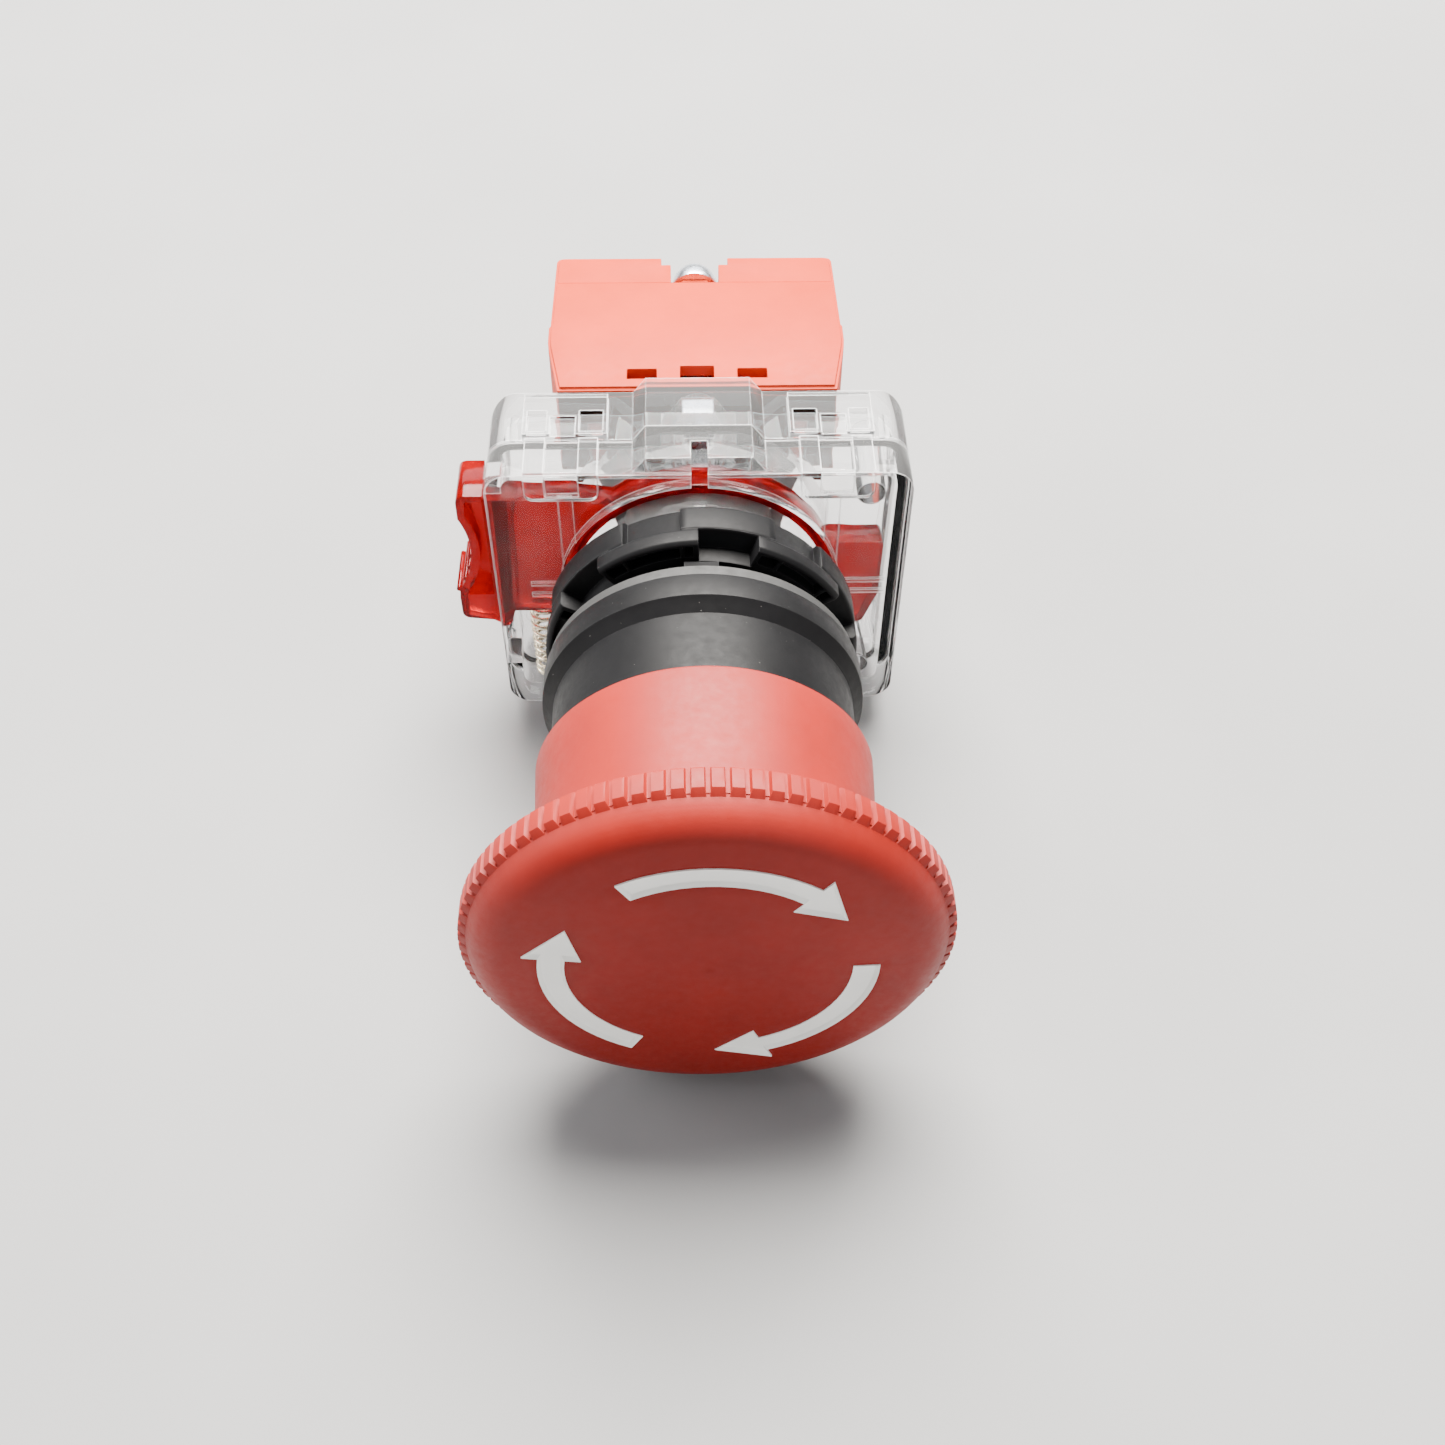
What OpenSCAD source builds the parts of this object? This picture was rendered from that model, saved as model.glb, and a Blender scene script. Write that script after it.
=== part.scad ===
// Emergency stop button for a 22 mm panel hole: twist-release mushroom head,
// threaded bezel with lock nut, clear clamping base with a locking lever, and
// one normally closed contact block.
// Axes: the push axis is Y with the head towards -Y, and +Z is up.
// Origin: on the push axis, in the plane where the gasket meets the panel.

/* [Head] */
// Diameter over the knurled rim
head_d = 40; // [38:0.5:42]
// Distance from the panel plane to the middle of the head's face
head_reach = 31.8; // [30.5:0.1:33]
// Width of the knurled band along the axis
knurl_w = 2.3; // [1.5:0.1:3]
// Number of knurl teeth
knurl_count = 86; // [60:1:96]
// Depth of the knurl grooves
knurl_depth = 0.5; // [0.3:0.05:0.7]
// Outside radius of the skirt at its open end
skirt_r = 14.65; // [14.5:0.05:14.9]
// Distance from the panel plane to the skirt's open end
skirt_gap = 12.05; // [12:0.05:12.6]
// How far the head travels when it is pressed
push_travel = 5.5; // [4:0.1:5.5]

/* [Arrows] */
// Radius of the arrows' centre line
arrow_r = 12.56; // [11.5:0.02:13]
// Width of the arrows' shafts
arrow_w = 2.15; // [1.5:0.05:2.5]
// Width across the barbs
barb_w = 4.75; // [3.5:0.05:5.2]
// Depth of the pockets that hold the arrows
arrow_pocket = 0.7; // [0.5:0.05:0.9]

/* [Bezel] */
// Nominal thread diameter of the barrel
thread_d = 22; // [21.8:0.1:22]
// Thread pitch
thread_pitch = 1.5; // [1.5:0.1:1.5]
// Outside radius of the flange
flange_r = 14.42; // [14.3:0.02:15]
// Outside radius of the tube that the skirt slides over
tube_r = 13.45; // [13.3:0.01:13.5]
// Thickness of the panel gasket
gasket_t = 1.5; // [1:0.1:1.8]
// Where the barrel ends behind the panel plane
barrel_end = 16; // [15.6:0.1:16.5]

/* [Lock nut] */
// Front face of the nut behind the panel plane
nut_front = 2.4; // [1.5:0.1:2.6]
// Rear face of the nut
nut_rear = 7.4; // [7:0.1:7.6]
// Radius over the nut's castellations
nut_r = 14.4; // [14:0.1:14.8]
// Radius of the front notches' floors
nut_core_r = 12.2; // [12:0.1:12.6]
// Plane between the front and the rear notches
nut_split = 4.2; // [4:0.1:4.6]

/* [Base] */
// Width of the clear base
base_w = 38.7; // [38:0.1:40]
// Height of the clear base
base_h = 29.8; // [29:0.1:30.4]
// Front face of the base
base_front = 10.6; // [10.4:0.1:10.8]
// Seam between the front cover and the rear body
base_seam = 15.5; // [15.4:0.1:15.6]
// Rear face of the base
base_rear = 22.4; // [22.2:0.1:22.6]
// Wall thickness of the base
base_wall = 1.4; // [1.2:0.1:1.6]
// Height of the screw positions above and below the axis
screw_z = 12.6; // [12.4:0.1:12.7]

/* [Lock lever] */
// How far the lever turns to unlock the base, in degrees
lever_travel = 12; // [8:1:12]
// Mean radius of the lever's return spring
lever_spring_r = 1.45; // [1.3:0.05:1.5]

/* [Contact block] */
// Half of the block's width at its rear
block_half_w = 13.9; // [13.8:0.05:13.95]
// Lower face of the block
block_z0 = 5.2; // [5:0.1:5.2]
// Upper face of the block
block_z1 = 15.4; // [15.2:0.1:15.6]
// Rear face of the block
block_rear = 43.8; // [43.6:0.1:44]
// Distance of each terminal screw from the middle
terminal_x = 9; // [8.9:0.1:9.1]

/* [Hidden] */
$fn = 72;
e = 0.01;                       // cutting overshoot

red = [0.78, 0.16, 0.13];
coral = [0.93, 0.36, 0.27];
black = [0.10, 0.10, 0.11];
clear = [0.88, 0.90, 0.92, 0.45];
ruby = [0.75, 0.03, 0.05, 0.8];
steel = [0.72, 0.73, 0.75];
zinc = [0.70, 0.74, 0.80];

head_r = head_d / 2;
face_y = -head_reach;
face_edge_r = 16.2;             // where the face starts to round over
face_round = 3.4;
rim_front = face_y + 2.6;
rim_rear = rim_front + knurl_w;
neck_r = skirt_r - 0.3;
roof_y = face_y + 3.2;          // inside of the head's front wall
skirt_bore_r = tube_r + 0.4;
hub_r = 6.4;                    // the head's middle hub and the stem neck in it
neck_stem_r = 4;
hub_end = -21.5;
snap_y = -26;

stem_r = 5.5;
stem_flange_y = -20.4;          // front of the stem's flange
stem_flange_t = 1.2;
stem_flange_r = 9.4;
pin_y = -11.6;                  // cross pin, which latches in the cam sleeve
pin_r = 0.9;
pin_length = 13.5;
plate_y = 12.6;                 // actuator plate on the stem's rear end
plate_t = 1.8;
plate_r = 8.8;
spigot_r = 2.5;                 // stem's rear end, which holds the plate
sleeve_flange_t = 1.3;

tube_front = -19.6;
web_front = -4.9;               // wall in the bezel that guides the stem
web_rear = -1.5;
tube_bore_r = 11.6;
barrel_r = thread_d / 2 - 0.1;
barrel_bore_r = 9.2;
key_w = 3;                      // key that stops the bezel turning in its hole
key_top = 12.85;
lock_groove = [13.3, 15.3];     // groove that the lever's teeth turn in

collar_r = barrel_r + 0.25;     // bore of the base's collar
collar_outer_r = 12.1;
ring_bore_r = 12.18;            // lever ring, which turns on the collar
ring_r = 13.1;
front_hole_r = 13.35;
cover_wall = 1.5;
rear_wall = 2;
corner_r = 2.2;
tower_top = 16.5;
nut_flats = 5;                  // M2.5 hexagon nut
nut_t = 2;
nut_y = 18.7;
m25_r = 1.25;
screw_hole_r = 1.45;
screw_head_r = 2.35;
spring_x = -15.2;
spring_y = 14;
wing = [12.3, 15];              // the lever's plate lies between these
wing_bottom = -3.2;
wing_top = 10.9;
handle = [12.25, 17.3];
grip_c = [-30.6, 4.7];
grip_r = 9.1;

front_half_w = 13.1;             // half width of the block where it meets the base
lid_z = 14.2;                    // seam between the block's housing and cover
block_wall = 1.3;
inner_rear = 38;                // end of the middle chamber
contact_z = 9.3;                // height of the bridge and of the contact tips
terminal_z = 10;
screw_seat = 41.4;              // where the mounting screw's head rests
plunger_tip = 14.7;
bridge_y = 25.4;
tip_r = 0.9;
tip_t = 0.5;
pad_y = 37;                     // threaded pad of each terminal plate

// ---- helpers ----

// A solid of revolution about the push axis, from [radius, y] points
module lathe(points) rotate([-90, 0, 0]) rotate_extrude() polygon(points);

// A flat shape drawn as seen from the front, from y0 to y1
module slab(y0, y1) translate([0, y1, 0]) rotate([90, 0, 0]) linear_extrude(y1 - y0) children();

// A round bar along Y
module rod(r, y0, y1, x = 0, z = 0) translate([x, y0, z]) rotate([-90, 0, 0]) cylinder(r = r, h = y1 - y0);

// A box from its lowest corner to its highest
module block(low, high) translate(low) cube(high - low);

module ring(r_in, r_out, y0, y1) lathe([[r_in, y0], [r_out, y0], [r_out, y1], [r_in, y1]]);

module both_sides() { children(); mirror([1, 0, 0]) children(); }

module top_and_bottom() { children(); mirror([0, 0, 1]) children(); }

// Points of a circular arc, angles in degrees
function arc(cx, cy, r, a0, a1, n = 8) =
    [for (i = [0:n]) let (a = a0 + (a1 - a0) * i / n) [cx + r * cos(a), cy + r * sin(a)]];

module rounded(w, h, r) {
    square([w - 2 * r, h], center = true);
    square([w, h - 2 * r], center = true);
    for (sx = [-1, 1], sz = [-1, 1]) translate([sx * (w / 2 - r), sz * (h / 2 - r)]) circle(r);
}

// A sector between two angles, as seen from the front
module sector(r, a0, a1) polygon(concat([[0, 0]], arc(0, 0, r, a0, a1, 6)));

// A round wire swept along a list of points
function unit(v) = v / norm(v);
function turn(path, i) = unit(path[min(i + 1, len(path) - 1)] - path[max(i - 1, 0)]);
module wire(path, r, sides = 6, side_ref = [0, 0, 1]) {
    rings = [for (i = [0:len(path) - 1])
        let (t = turn(path, i), u = unit(cross(t, side_ref)), v = cross(t, u))
        [for (k = [0:sides - 1]) path[i] + r * (cos(360 * k / sides) * u + sin(360 * k / sides) * v)]];
    points = [for (ring = rings) each ring];
    last = (len(path) - 1) * sides;
    skin = [for (i = [0:len(path) - 2], k = [0:sides - 1])
        let (a = i * sides + k, b = i * sides + (k + 1) % sides)
        each [[a, b, b + sides], [a, b + sides, a + sides]]];
    ends = [[for (k = [sides - 1:-1:0]) k], [for (k = [0:sides - 1]) last + k]];
    polyhedron(points = points, faces = concat(skin, ends), convexity = 10);
}

// A coil about the Y axis between the planes y0 and y1, its end turns closed up
function coil(r, y0, y1, turns, steps = 16, phase = 0) =
    [for (i = [0:turns * steps])
        let (t = i / steps, s = coil_share(t, turns), a = 360 * t + phase)
        [r * cos(a), y0 + (y1 - y0) * s, r * sin(a)]];
// Share of the coil's length reached after t turns: slow in the first and last turn
function coil_share(t, turns) =
    let (dead = 0.07, mid = 1 - 2 * dead)
    t < 1 ? dead * t : t > turns - 1 ? 1 - dead * (turns - t) : dead + mid * (t - 1) / (turns - 2);

// ---- operator head ----

function head_outline() = concat(
    [[0, face_y], [face_edge_r / 2, face_y + 0.07]],
    arc(face_edge_r, face_y + 0.26 + face_round, face_round, -90, -18, 9),
    [[head_r - knurl_depth, rim_front], [head_r - knurl_depth, rim_rear], [17.4, rim_rear + 0.45]],
    arc(17.2, rim_rear + 3.3, 17.2 - neck_r, -95, -180, 7),
    [[neck_r, -skirt_gap - 8], [skirt_r, -skirt_gap - 0.35], [skirt_r - 0.3, -skirt_gap],
     [skirt_bore_r, -skirt_gap], [skirt_bore_r, roof_y + 1.3], [skirt_bore_r - 1.3, roof_y],
     [hub_r, roof_y], [hub_r, hub_end], [neck_stem_r + 0.08, hub_end], [neck_stem_r + 0.08, snap_y + 0.45],
     [neck_stem_r + 0.55, snap_y + 0.45], [neck_stem_r + 0.55, snap_y - 0.45],
     [neck_stem_r + 0.08, snap_y - 0.45], [neck_stem_r + 0.08, roof_y], [0, roof_y]]);

// One tooth per pitch, with sloping sides
module knurl_section() {
    pitch = 360 / knurl_count;
    root = head_r - knurl_depth - 0.4;
    tooth = [[-0.5, root], [-0.45, root], [-0.31, head_r], [0.31, head_r], [0.45, root]];
    polygon([for (i = [0:knurl_count - 1], p = tooth)
        p[1] * [cos((i + p[0]) * pitch), sin((i + p[0]) * pitch)]]);
}

module knurl() intersection() {
    slab(rim_front - 1, rim_rear) knurl_section();
    lathe([[17, rim_front - 0.5], [head_r - 1.1, rim_front - 0.5], [head_r, rim_front + 0.15],
           [head_r, rim_rear - 0.4], [head_r - 0.35, rim_rear - 0.05], [17, rim_rear - 0.05]]);
}

// An arrow that runs clockwise as seen from the front, tail at 121 degrees
module arrow_shape(grow = 0) {
    tail = 121;
    neck = 51.2;
    tip = 31.9;
    polygon(concat(
        arc(0, 0, arrow_r + arrow_w / 2 + grow, tail + grow * 4, neck, 14),
        [(arrow_r + barb_w / 2 + grow * 1.3) * [cos(neck + grow * 4), sin(neck + grow * 4)],
         arrow_r * [cos(tip - grow * 9), sin(tip - grow * 9)],
         (arrow_r - barb_w / 2 - grow * 1.3) * [cos(neck + grow * 4), sin(neck + grow * 4)]],
        arc(0, 0, arrow_r - arrow_w / 2 - grow, neck, tail + grow * 4, 14)));
}

module three_arrows() for (k = [0:2]) rotate([0, 120 * k, 0]) children();

module mushroom_head() color(red) difference() {
    union() {
        lathe(head_outline());
        knurl();
    }
    three_arrows() slab(face_y - 1, face_y + arrow_pocket) arrow_shape();
    // blind hole for the torsion spring's front leg
    rod(0.5, roof_y - 1, roof_y + e, 7.3, 0);
}

module arrow_inlays() color("white")
    three_arrows() slab(face_y + arrow_pocket - 0.35, face_y + arrow_pocket) arrow_shape();

// ---- stem and springs ----

module push_stem() color([0.9, 0.9, 0.88]) difference() {
    lathe([[0, roof_y + 0.3], [neck_stem_r - 0.4, roof_y + 0.3], [neck_stem_r, roof_y + 0.7],
           [neck_stem_r, snap_y - 0.42], [3.55, snap_y - 0.42],
           [3.55, snap_y + 0.42], [neck_stem_r, snap_y + 0.42],
           [neck_stem_r, stem_flange_y], [stem_flange_r, stem_flange_y],
           [stem_flange_r, stem_flange_y + stem_flange_t], [stem_r, stem_flange_y + stem_flange_t],
           [stem_r, plate_y], [spigot_r, plate_y], [spigot_r, plate_y + plate_t], [0, plate_y + plate_t]]);
    translate([-stem_r - 1, pin_y, 0]) rotate([0, 90, 0]) cylinder(r = pin_r, h = 2 * stem_r + 2);
    rod(0.5, stem_flange_y - e, stem_flange_y + stem_flange_t + e, -7.3, 0);
}

module snap_ring() color(steel) translate([0, snap_y, 0]) rotate([-90, 20, 0])
    rotate_extrude(angle = 320) translate([4, 0]) circle(r = 0.38, $fn = 16);

// Turns the head back after it has been twisted
module torsion_spring() color(steel) {
    coil_pts = coil(7.3, roof_y + 0.75, hub_end - 0.2 + 0.35, 5.5, 20, 0);
    wire(concat([[7.3, roof_y - 0.7, 0]], [[7.3, roof_y + 0.2, 0]], coil_pts,
                [[-7.3, stem_flange_y + 0.2, 0], [-7.3, stem_flange_y + 1, 0]]), 0.35, 6, [0.3, 0.2, 1]);
}

module latch_pin() color(steel)
    translate([-pin_length / 2, pin_y, 0]) rotate([0, 90, 0]) cylinder(r = pin_r, h = pin_length);

module actuator_plate() color([0.85, 0.85, 0.82]) difference() {
    lathe([[spigot_r, plate_y], [plate_r, plate_y], [plate_r, plate_y + plate_t - 0.3],
           [plate_r - 0.3, plate_y + plate_t], [spigot_r, plate_y + plate_t]]);
    for (a = [45:90:315]) rotate([0, a, 0]) rod(1.2, plate_y - 1, plate_y + plate_t + 1, 6, 0);
}

// Pushes the stem and head back out
module return_spring() color(steel)
    wire(coil(8.15, stem_flange_y + stem_flange_t + 0.47, web_front - sleeve_flange_t - 0.47, 6.5, 20),
         0.45, 6, [0, 1, 0.001]);

// Fixed sleeve with two hooked slots that the cross pin runs and latches in
module cam_sleeve() color([0.2, 0.2, 0.21]) {
    slot_end = pin_y + push_travel + pin_r + 0.1;
    difference() {
        union() {
            ring(stem_r + 0.08, 7.1, -13.4, web_front);
            ring(stem_r + 0.08, 9.6, web_front - sleeve_flange_t, web_front);
        }
        for (s = [0, 180]) rotate([0, s, 0]) {
            block([4, pin_y - pin_r - 0.15, -pin_r - 0.12], [8, slot_end, pin_r + 0.12]);
            block([4, slot_end - 2 * pin_r - 0.2, -pin_r - 0.12], [8, slot_end, 2.4]);
        }
    }
}

// ---- bezel ----

function thread_outline(y0, y1) =
    [for (i = [0:floor((y1 - y0) / thread_pitch) - 1])
        let (y = y0 + i * thread_pitch)
        each [[barrel_r, y + 0.15], [barrel_r - 0.75, y + 0.7],
              [barrel_r - 0.75, y + 0.85], [barrel_r, y + 1.4]]];

module bezel_body() color(black) {
    seal = [-17.6, -16.2];
    difference() {
        lathe(concat(
            [[tube_bore_r, tube_front], [tube_r - 0.4, tube_front], [tube_r, tube_front + 0.4],
             [tube_r, seal[0]], [tube_r - 1, seal[0]], [tube_r - 1, seal[1]], [tube_r, seal[1]],
             [tube_r, -5.15], [flange_r - 0.1, -4.05], [flange_r, -3.95],
             [flange_r, -gasket_t], [barrel_r, -gasket_t]],
            thread_outline(0, 10.5),
            [[barrel_r, lock_groove[0]], [barrel_r - 0.85, lock_groove[0]],
             [barrel_r - 0.85, lock_groove[1]], [barrel_r, lock_groove[1]],
             [barrel_r, barrel_end - 0.3], [barrel_r - 0.3, barrel_end],
             [barrel_bore_r, barrel_end], [barrel_bore_r, web_rear], [stem_r + 0.07, web_rear],
             [stem_r + 0.07, web_front], [tube_bore_r, web_front]]));
        // lead-in slots that the lever's teeth pass along
        for (a = [90, 210, 330]) rotate([0, -a + 18, 0])
            block([barrel_r - 0.85, lock_groove[0] + 1, -1.8], [barrel_r + 1, barrel_end + 1, 1.8]);
    }
    block([-key_w / 2, -gasket_t, barrel_r - 0.9], [key_w / 2, 1.6, key_top]);
}

module wiper_seal() color([0.06, 0.06, 0.06])
    lathe([[tube_r - 0.95, -17.5], [tube_r + 0.05, -17.5], [tube_r + 0.32, -17.1], [tube_r + 0.05, -16.7],
           [tube_r + 0.05, -16.3], [tube_r - 0.95, -16.3]]);

module panel_gasket() color([0.07, 0.07, 0.07]) difference() {
    lathe([[barrel_r + 0.2, -gasket_t], [14.1, -gasket_t], [14.1, -0.2], [13.9, 0], [barrel_r + 0.2, 0]]);
    block([-key_w / 2 - 0.1, -gasket_t - 1, 8], [key_w / 2 + 0.1, 1, key_top + 0.1]);
}

// Two tiers of castellations, staggered by half a pitch
// Sector of a flat ring between two angles and two radii
module ring_sector(r_in, r_out, a0, a1) difference() {
    intersection() {
        circle(r_out);
        sector(20, a0, a1);
    }
    circle(r_in);
}

module lock_nut() color(black) difference() {
    front_notch = 21.5;
    lathe([[barrel_r + 0.1, nut_front], [nut_r - 0.3, nut_front], [nut_r, nut_front + 0.3],
           [nut_r, nut_split - 0.15], [nut_r - 0.15, nut_split], [nut_r, nut_split + 0.15],
           [nut_r, nut_rear - 0.5], [nut_r - 0.5, nut_rear], [barrel_r + 0.1, nut_rear]]);
    for (k = [0:5]) {
        slab(nut_front - 1, nut_split)
            ring_sector(nut_core_r, 18, 60 * k + 80.2 - front_notch / 2, 60 * k + 80.2 + front_notch / 2);
        // pockets in the front face, with a rib between each two
        for (a = [[93, 96.6], [98, 118.8], [120.2, 127.4]])
            slab(nut_front - 1, nut_split - 0.5)
                ring_sector(nut_core_r + 0.5, nut_r - 0.6, 60 * k + a[0], 60 * k + a[1]);
    }
    // rear notches, in three pairs
    for (k = [0:2], a = [[97.2, 118.5], [41.5, 62.7]])
        slab(nut_split, nut_rear + 1) ring_sector(nut_r - 0.8, 18, 120 * k + a[0], 120 * k + a[1]);
}

// ---- clear base ----

module tower_shape()
    polygon([[-6, 12.8], [-6, base_h / 2], [-4.8, tower_top], [4.8, tower_top], [6, base_h / 2], [6, 12.8]]);

module base_cover() color(clear) {
    back = base_front + cover_wall;
    difference() {
        union() {
            slab(base_front, base_seam - 0.2) rounded(base_w, base_h, corner_r);
            slab(base_seam - 0.2 - e, base_seam) rounded(base_w - 0.5, base_h - 0.5, corner_r);
            top_and_bottom() {
                slab(base_front + 0.4, base_seam) tower_shape();
                both_sides() cover_clip();
            }
            // alignment ribs on the face
            for (z = [0.45, 1.85]) {
                block([-16, base_front - 0.25, z - 0.22], [-13.45, base_front + e, z + 0.22]);
                block([13.45, base_front - 0.25, z - 0.22], [17.5, base_front + e, z + 0.22]);
            }
        }
        slab(base_front - 1, back + e) circle(front_hole_r);
        slab(back, base_seam + 1) rounded(base_w - 2 * base_wall, base_h - 2 * base_wall, corner_r - 1);
        // channels beside the hole
        top_and_bottom() both_sides()
            block([11.5, base_front - 1, 2], [12.8, base_front + 0.35, 12.3]);
        // index slots
        top_and_bottom() block([-0.75, base_front - 1, 12], [0.75, base_front + 2.7, tower_top + 1]);
        // room for the lever
        block([-base_w / 2 - 1, back, -10.4], [-base_w / 2 + base_wall + 0.5, base_seam + 1, 11.9]);
    }
}

// Snap clip of the cover, wrapped over its front edge
module cover_clip() difference() {
    union() {
        block([9.1, base_front - 0.5, 13.2], [15.7, base_front + 0.5, base_h / 2 + 0.5]);
        block([9.9, base_front - 0.5, 12.4], [14.9, base_front + 0.5, 13.3]);
        for (x = [9.9, 14.9]) rod(0.8, base_front - 0.5, base_front + 0.5, x, 13.2);
        block([9.1, base_front - 0.5, base_h / 2 - 0.5], [15.7, base_seam - 0.2, base_h / 2 + 0.5]);
    }
    block([10.85, base_front - 1, 12.9], [13.85, base_seam, base_h / 2 + 1 - 0.85]);
    block([10.85, base_front - 0.1, 12.9], [13.85, base_seam, base_h / 2 + 1]);
}

module base_body() color(clear) {
    wall_front = base_rear - rear_wall;
    difference() {
        union() {
            difference() {
                union() {
                    intersection() {
                        slab(base_seam, base_rear) rounded(base_w, base_h, corner_r);
                        // plan outline with rounded rear corners
                        translate([0, base_rear - 10, -20]) linear_extrude(40) rounded(base_w, 20, 2.6);
                    }
                    top_and_bottom() {
                        slab(base_seam, base_rear) tower_shape();
                        both_sides() body_bar();
                    }
                }
                difference() {
                    slab(base_seam - 1, wall_front)
                        rounded(base_w - 2 * base_wall, base_h - 2 * base_wall, corner_r - 1);
                    top_and_bottom() block([-4.6, nut_y - 0.1, 9.5], [4.6, base_rear, 20]);
                }
                // towers are hollow in front of their nut bosses
                top_and_bottom() block([-3.4, base_seam - 1, 12], [3.4, nut_y - 0.1, 15.1]);
            }
            // collar that the barrel enters and the lever ring turns on
            difference() {
                ring(collar_r, collar_outer_r, base_front - 2.4, wall_front + e);
                for (a = [90, 210, 330])
                    slab(13.4, 15.2) sector(16, a - 12 - lever_travel, a + 12 + lever_travel);
            }
            // ledge behind the lever ring, and pins that locate the cover
            ring(collar_outer_r - e, 13, base_seam - 0.35, wall_front + e);
            for (s = [-1, 1]) {
                rod(1.3, base_front + cover_wall + 0.1, wall_front + e, 15.7, s * 11.4);
                block([15, base_seam, s * 11.4 - 0.5], [18.4, wall_front + e, s * 11.4 + 0.5]);
            }
        }
        // plunger window
        block([-2.2, wall_front - 1, -8.7], [2.2, base_rear + 1, 8.7]);
        top_and_bottom() {
            // mounting screw, its nut, and the block's hooks
            rod(screw_hole_r, 16.7, base_rear + 1, 0, screw_z);
            slab(nut_y - 1, nut_y + nut_t + 0.1)
                translate([0, screw_z]) circle(r = (nut_flats + 0.16) / sqrt(3), $fn = 6);
            both_sides() block([8.7, wall_front - 1, 8], [10.4, base_rear + 1, 11.5]);
        }
    }
}

// Raised pad behind each clip, with the clip's tongue between two recesses
module body_bar() difference() {
    block([8.3, base_seam + 0.2, base_h / 2 - 0.5], [16, base_rear - 1, base_h / 2 + 0.6]);
    block([8.7, base_seam + 0.6, base_h / 2 + 0.1], [10.85, base_rear - 3.4, base_h / 2 + 2]);
    block([13.85, base_seam + 0.6, base_h / 2 + 0.1], [15.6, base_rear - 3.4, base_h / 2 + 2]);
    block([11.2, base_seam, base_h / 2 + 0.3], [13.5, base_rear - 4.2, base_h / 2 + 2]);
}

// Outline of the lever's plate, without its round hole
module lever_plate_shape() {
    polygon([[-20.4, -4.6], [-20.4, wing_top], [-11.6, wing_top], [-10.2, 10.6], [-8.2, 10.2], [0, 4],
             [-6, wing_bottom], [-18, wing_bottom], [-18.4, -4.8], [-19.2, -5.4]]);
    polygon([[6, 5.4], [17, 5.2], [17.3, 4.9], [17.3, -1.3], [16, -5.1], [15.5, -5.4], [6, -5.4]]);
    circle(ring_r);
}

// Finger grip, concave towards the outside
module grip_shape(inner_side) difference() {
    polygon(concat(inner_side, [[-19.85, 11.2]], arc(-21.5, 10.4, 0.8, 90, 175, 4),
                   [[-22.32, 8.6], [-23.1, -0.5], [-23.2, -1.5]], arc(-22.45, -3.6, 0.75, 180, 262, 4)));
    translate(grip_c) circle(grip_r);
}

module lock_lever() color(ruby) {
    difference() {
        union() {
            slab(wing[0], wing[1]) difference() {
                lever_plate_shape();
                translate([-21, -1.2]) square([1.1, 11.7]);
            }
            slab(base_front + 0.7, wing[1]) circle(ring_r);
        }
        rod(ring_bore_r, 0, 20);
    }
    // teeth that lock into the barrel's groove
    slab(13.7, wing[1]) for (a = [90, 210, 330]) difference() {
        sector(12.4, a - 8, a + 8);
        circle(10.4);
    }
    difference() {
        union() {
            slab(handle[0], wing[1]) grip_shape([[-19.85, -4.7]]);
            slab(wing[1] - e, handle[1]) grip_shape([[-21.2, -4.5], [-19.85, 1.6]]);
            for (a = [-5.5, -15, -24.7, -34.5])
                rod(0.28, handle[0], handle[1], grip_c[0] + 9.05 * cos(a), grip_c[1] + 9.05 * sin(a));
        }
        // shallow pocket in the grip's front, inside its outer wall
        slab(handle[0] - 1, 13.9) difference() {
            polygon([[-19.9, -1.2], [-19.9, 10.5], [-21.5, 10.5], [-22.3, -1.2]]);
            translate(grip_c) circle(grip_r + 0.85);
        }
    }
}

module lever_spring() color([0.85, 0.78, 0.55])
    translate([spring_x, spring_y, 0]) rotate([90, 0, 0])
        wire(coil(lever_spring_r, -base_h / 2 + base_wall + 0.25, wing_bottom - 0.25, 9.5, 14),
             0.22, 6, [0, 1, 0.001]);

module clamp_nuts() color(zinc) top_and_bottom() difference() {
    slab(nut_y, nut_y + nut_t) translate([0, screw_z]) circle(r = nut_flats / sqrt(3), $fn = 6);
    rod(m25_r, 0, 40, 0, screw_z);
}

// ---- contact block ----

// Plan outline: narrower at the front, widest at a snap bump on each side
function block_side(f, r) =
    [[front_half_w, f], [14.15, 28.8], [14.25, 30], [14.25, 32.2], [14.1, 32.5], [block_half_w, r - 0.6],
     [block_half_w - 0.18, r - 0.17], [block_half_w - 0.6, r]];

function block_outline(inset = 0) =
    let (side = block_side(base_rear + inset, block_rear - inset))
    concat([for (p = side) [p[0] - inset, p[1]]],
           [for (i = [len(side) - 1:-1:0]) [inset - side[i][0], side[i][1]]]);

module block_plan(z0, z1, inset = 0)
    translate([0, 0, z0]) linear_extrude(z1 - z0) polygon(block_outline(inset));

// Rear notch around the mounting screw's head, stepped in plan
module rear_notch(z0, z1) {
    block([-2.4, 39.2, z0], [2.4, block_rear + 1, z1]);
    block([-3.35, 42.4, z0], [3.35, block_rear + 1, z1]);
}

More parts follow.
